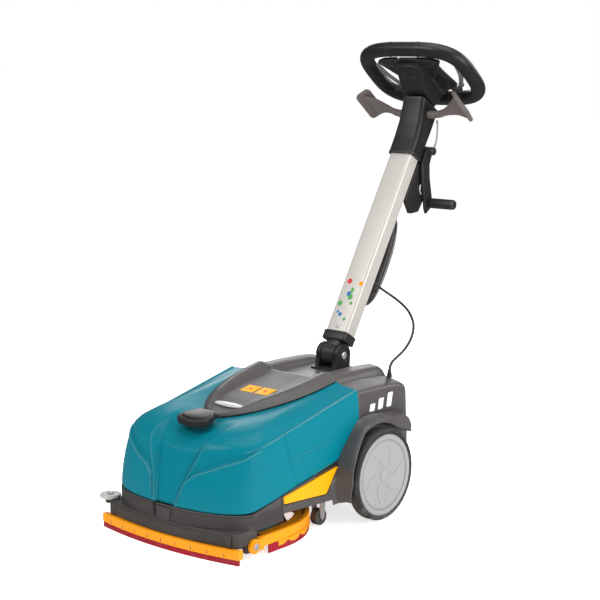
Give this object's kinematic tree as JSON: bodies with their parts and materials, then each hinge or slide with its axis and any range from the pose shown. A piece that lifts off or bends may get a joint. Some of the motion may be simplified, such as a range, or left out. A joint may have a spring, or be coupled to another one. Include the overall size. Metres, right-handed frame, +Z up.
{
  "type": "walk-behind floor scrubber",
  "caption": "Walk-behind floor scrubber with a folding steering handle, hinged tank lid, disc brush deck, front and rear squeegees, rear wheels and rollers.",
  "frame": {"origin": "on the floor, under the middle of the machine's bounding box", "axes": "+Z up, the machine drives towards -Y, and the corner with the wall roller is at -X"},
  "size_m": [0.5172, 1.0775, 1.1255],
  "materials": {
    "aluminium": "extruded, bead blasted",
    "badge_silver": "satin foil",
    "bare_steel": "zinc plated",
    "battery_grey": "battery case",
    "black_plastic": "moulded plastic, satin",
    "cable_black": "PVC cable sheath",
    "dark_plastic": "moulded plastic, fine grain",
    "grey_plastic": "moulded plastic, fine grain",
    "hub_plastic": "moulded plastic, satin",
    "lever_plastic": "moulded plastic, textured",
    "nylon_bristle": "nylon filament tufts",
    "orange_plastic": "moulded plastic, smooth",
    "pale_plastic": "moulded plastic",
    "red_rubber": "moulded rubber",
    "teal_plastic": "rotation-moulded polyethylene, satin",
    "tyre_rubber": "non-marking rubber",
    "yellow_plastic": "moulded plastic, smooth"
  },
  "bodies": {
    "chassis": {"battery_pack": "battery_grey", "brush_deck": "dark_plastic", "brush_motor": "bare_steel", "chassis_base": "dark_plastic", "control_cable": "cable_black", "front_squeegee_blade": "red_rubber", "front_squeegee_carrier": "orange_plastic", "hinge_bracket": "black_plastic", "hinge_pin": "bare_steel", "left_roller_fork": "bare_steel", "right_roller_fork": "bare_steel", "left_side_panel": "grey_plastic", "right_side_panel": "grey_plastic", "left_squeegee_bolt": "bare_steel", "right_squeegee_bolt": "bare_steel", "rear_axle": "bare_steel", "rear_cover": "grey_plastic", "rear_housing": "grey_plastic", "recovery_tank": "pale_plastic", "solution_tank": "pale_plastic", "tank_shell": "teal_plastic", "vacuum_motor": "bare_steel", "wall_roller_pin": "bare_steel", "lower_grommet": "cable_black"},
    "handle": {"handle_knuckle": "black_plastic", "handle_tube": "aluminium", "neck": "black_plastic", "carry_handle": "black_plastic", "cable_channel": "black_plastic", "head_cover": "black_plastic", "control_console": "black_plastic", "steering_loop": "black_plastic", "lift_bracket": "black_plastic", "lift_wire": "bare_steel", "upper_grommet": "cable_black"},
    "lid": {"lid": "grey_plastic", "lid_badge": "badge_silver"},
    "lid_latch": {"lid_latch": "black_plastic"},
    "left_side_latch": {"left_side_latch": "yellow_plastic"},
    "right_side_latch": {"right_side_latch": "yellow_plastic"},
    "left_wheel": {"left_tyre": "tyre_rubber", "left_hub": "hub_plastic"},
    "right_wheel": {"right_tyre": "tyre_rubber", "right_hub": "hub_plastic"},
    "brush": {"brush_disc": "teal_plastic", "brush_bristles": "nylon_bristle", "brush_coupling": "black_plastic"},
    "wall_roller": {"wall_roller": "pale_plastic"},
    "left_support_roller": {"left_support_roller": "tyre_rubber"},
    "right_support_roller": {"right_support_roller": "tyre_rubber"},
    "lift_lever": {"lift_lever": "black_plastic", "lift_grip": "black_plastic"},
    "rear_squeegee": {"rear_squeegee_carrier": "orange_plastic", "rear_squeegee_blade": "red_rubber"},
    "left_paddle": {"left_paddle": "lever_plastic"},
    "right_paddle": {"right_paddle": "lever_plastic"},
    "left_thumb_lever": {"left_thumb_lever": "lever_plastic"},
    "right_thumb_lever": {"right_thumb_lever": "lever_plastic"},
    "power_switch": {"power_switch": "red_rubber"},
    "mode_button": {"mode_button": "pale_plastic"}
  },
  "joints": [
    {"name": "handle_fold", "type": "hinge", "parent": "chassis", "child": "handle", "pos_m": [0, 0.0737, 0.3508], "axis": [1, 0, 0], "range_deg": [-12, 105], "deforming": ["control_cable"]},
    {"name": "lid_open", "type": "hinge", "parent": "chassis", "child": "lid", "pos_m": [0, -0.0826, 0.344], "axis": [1, 0, 0], "range_deg": [-60, 0]},
    {"name": "lid_latch_turn", "type": "hinge", "parent": "lid", "child": "lid_latch", "pos_m": [0, -0.375, 0.285], "axis": [1, 0, 0], "range_deg": [-35, 0]},
    {"name": "left_latch_turn", "type": "hinge", "parent": "chassis", "child": "left_side_latch", "pos_m": [-0.2048, -0.2795, 0.0985], "axis": [0, 0.9977, -0.0679], "range_deg": [-20, 0]},
    {"name": "right_latch_turn", "type": "hinge", "parent": "chassis", "child": "right_side_latch", "pos_m": [0.2048, -0.2795, 0.0985], "axis": [0, 0.9977, -0.0679], "range_deg": [0, 20]},
    {"name": "left_wheel_spin", "type": "hinge", "parent": "chassis", "child": "left_wheel", "pos_m": [-0.2421, -0.0448, 0.11], "axis": [1, 0, 0], "continuous": true},
    {"name": "right_wheel_spin", "type": "hinge", "parent": "chassis", "child": "right_wheel", "pos_m": [0.2421, -0.0448, 0.11], "axis": [1, 0, 0], "continuous": true},
    {"name": "brush_spin", "type": "hinge", "parent": "chassis", "child": "brush", "pos_m": [0, -0.346, 0.04], "axis": [0, 0, 1], "continuous": true},
    {"name": "wall_roller_spin", "type": "hinge", "parent": "chassis", "child": "wall_roller", "pos_m": [-0.215, -0.492, 0.071], "axis": [0, 0, 1], "continuous": true},
    {"name": "left_roller_spin", "type": "hinge", "parent": "chassis", "child": "left_support_roller", "pos_m": [-0.1595, -0.176, 0.02], "axis": [1, 0, 0], "continuous": true},
    {"name": "right_roller_spin", "type": "hinge", "parent": "chassis", "child": "right_support_roller", "pos_m": [0.1595, -0.176, 0.02], "axis": [1, 0, 0], "continuous": true},
    {"name": "lift_lever_turn", "type": "hinge", "parent": "handle", "child": "lift_lever", "pos_m": [0.048, 0.417, 0.844], "axis": [1, 0, 0], "range_deg": [0, 60]},
    {"name": "rear_squeegee_lift", "type": "hinge", "parent": "chassis", "child": "rear_squeegee", "pos_m": [0, -0.458, 0.03], "axis": [1, 0, 0], "range_deg": [0, 4.5]},
    {"name": "left_paddle_squeeze", "type": "hinge", "parent": "handle", "child": "left_paddle", "pos_m": [-0.05, 0.4199, 0.9388], "axis": [1, 0, 0], "range_deg": [-15, 0], "stiffness_Nm_per_rad": 1.5, "springref_deg": 8.59},
    {"name": "right_paddle_squeeze", "type": "hinge", "parent": "handle", "child": "right_paddle", "pos_m": [0.05, 0.4199, 0.9388], "axis": [1, 0, 0], "range_deg": [-15, 0], "stiffness_Nm_per_rad": 1.5, "springref_deg": 8.59},
    {"name": "left_thumb_press", "type": "hinge", "parent": "handle", "child": "left_thumb_lever", "pos_m": [-0.0985, 0.4774, 1.0157], "axis": [0, 0.6239, 0.7815], "range_deg": [0, 8], "stiffness_Nm_per_rad": 0.8, "springref_deg": -5.73},
    {"name": "right_thumb_press", "type": "hinge", "parent": "handle", "child": "right_thumb_lever", "pos_m": [0.0985, 0.4774, 1.0157], "axis": [0, 0.6239, 0.7815], "range_deg": [-8, 0], "stiffness_Nm_per_rad": 0.8, "springref_deg": 5.73},
    {"name": "power_switch_press", "type": "slide", "parent": "handle", "child": "power_switch", "axis": [0, 0.6239, 0.7815], "range_m": [-0.003, 0], "stiffness_N_per_m": 300, "springref_m": 0.001},
    {"name": "mode_button_press", "type": "slide", "parent": "handle", "child": "mode_button", "axis": [0, 0.6239, 0.7815], "range_m": [-0.002, 0], "stiffness_N_per_m": 300, "springref_m": 0.001}
  ],
  "couplings": [
    {"joint": "rear_squeegee_lift", "follows": "lift_lever_turn", "ratio": 0.075}
  ]
}
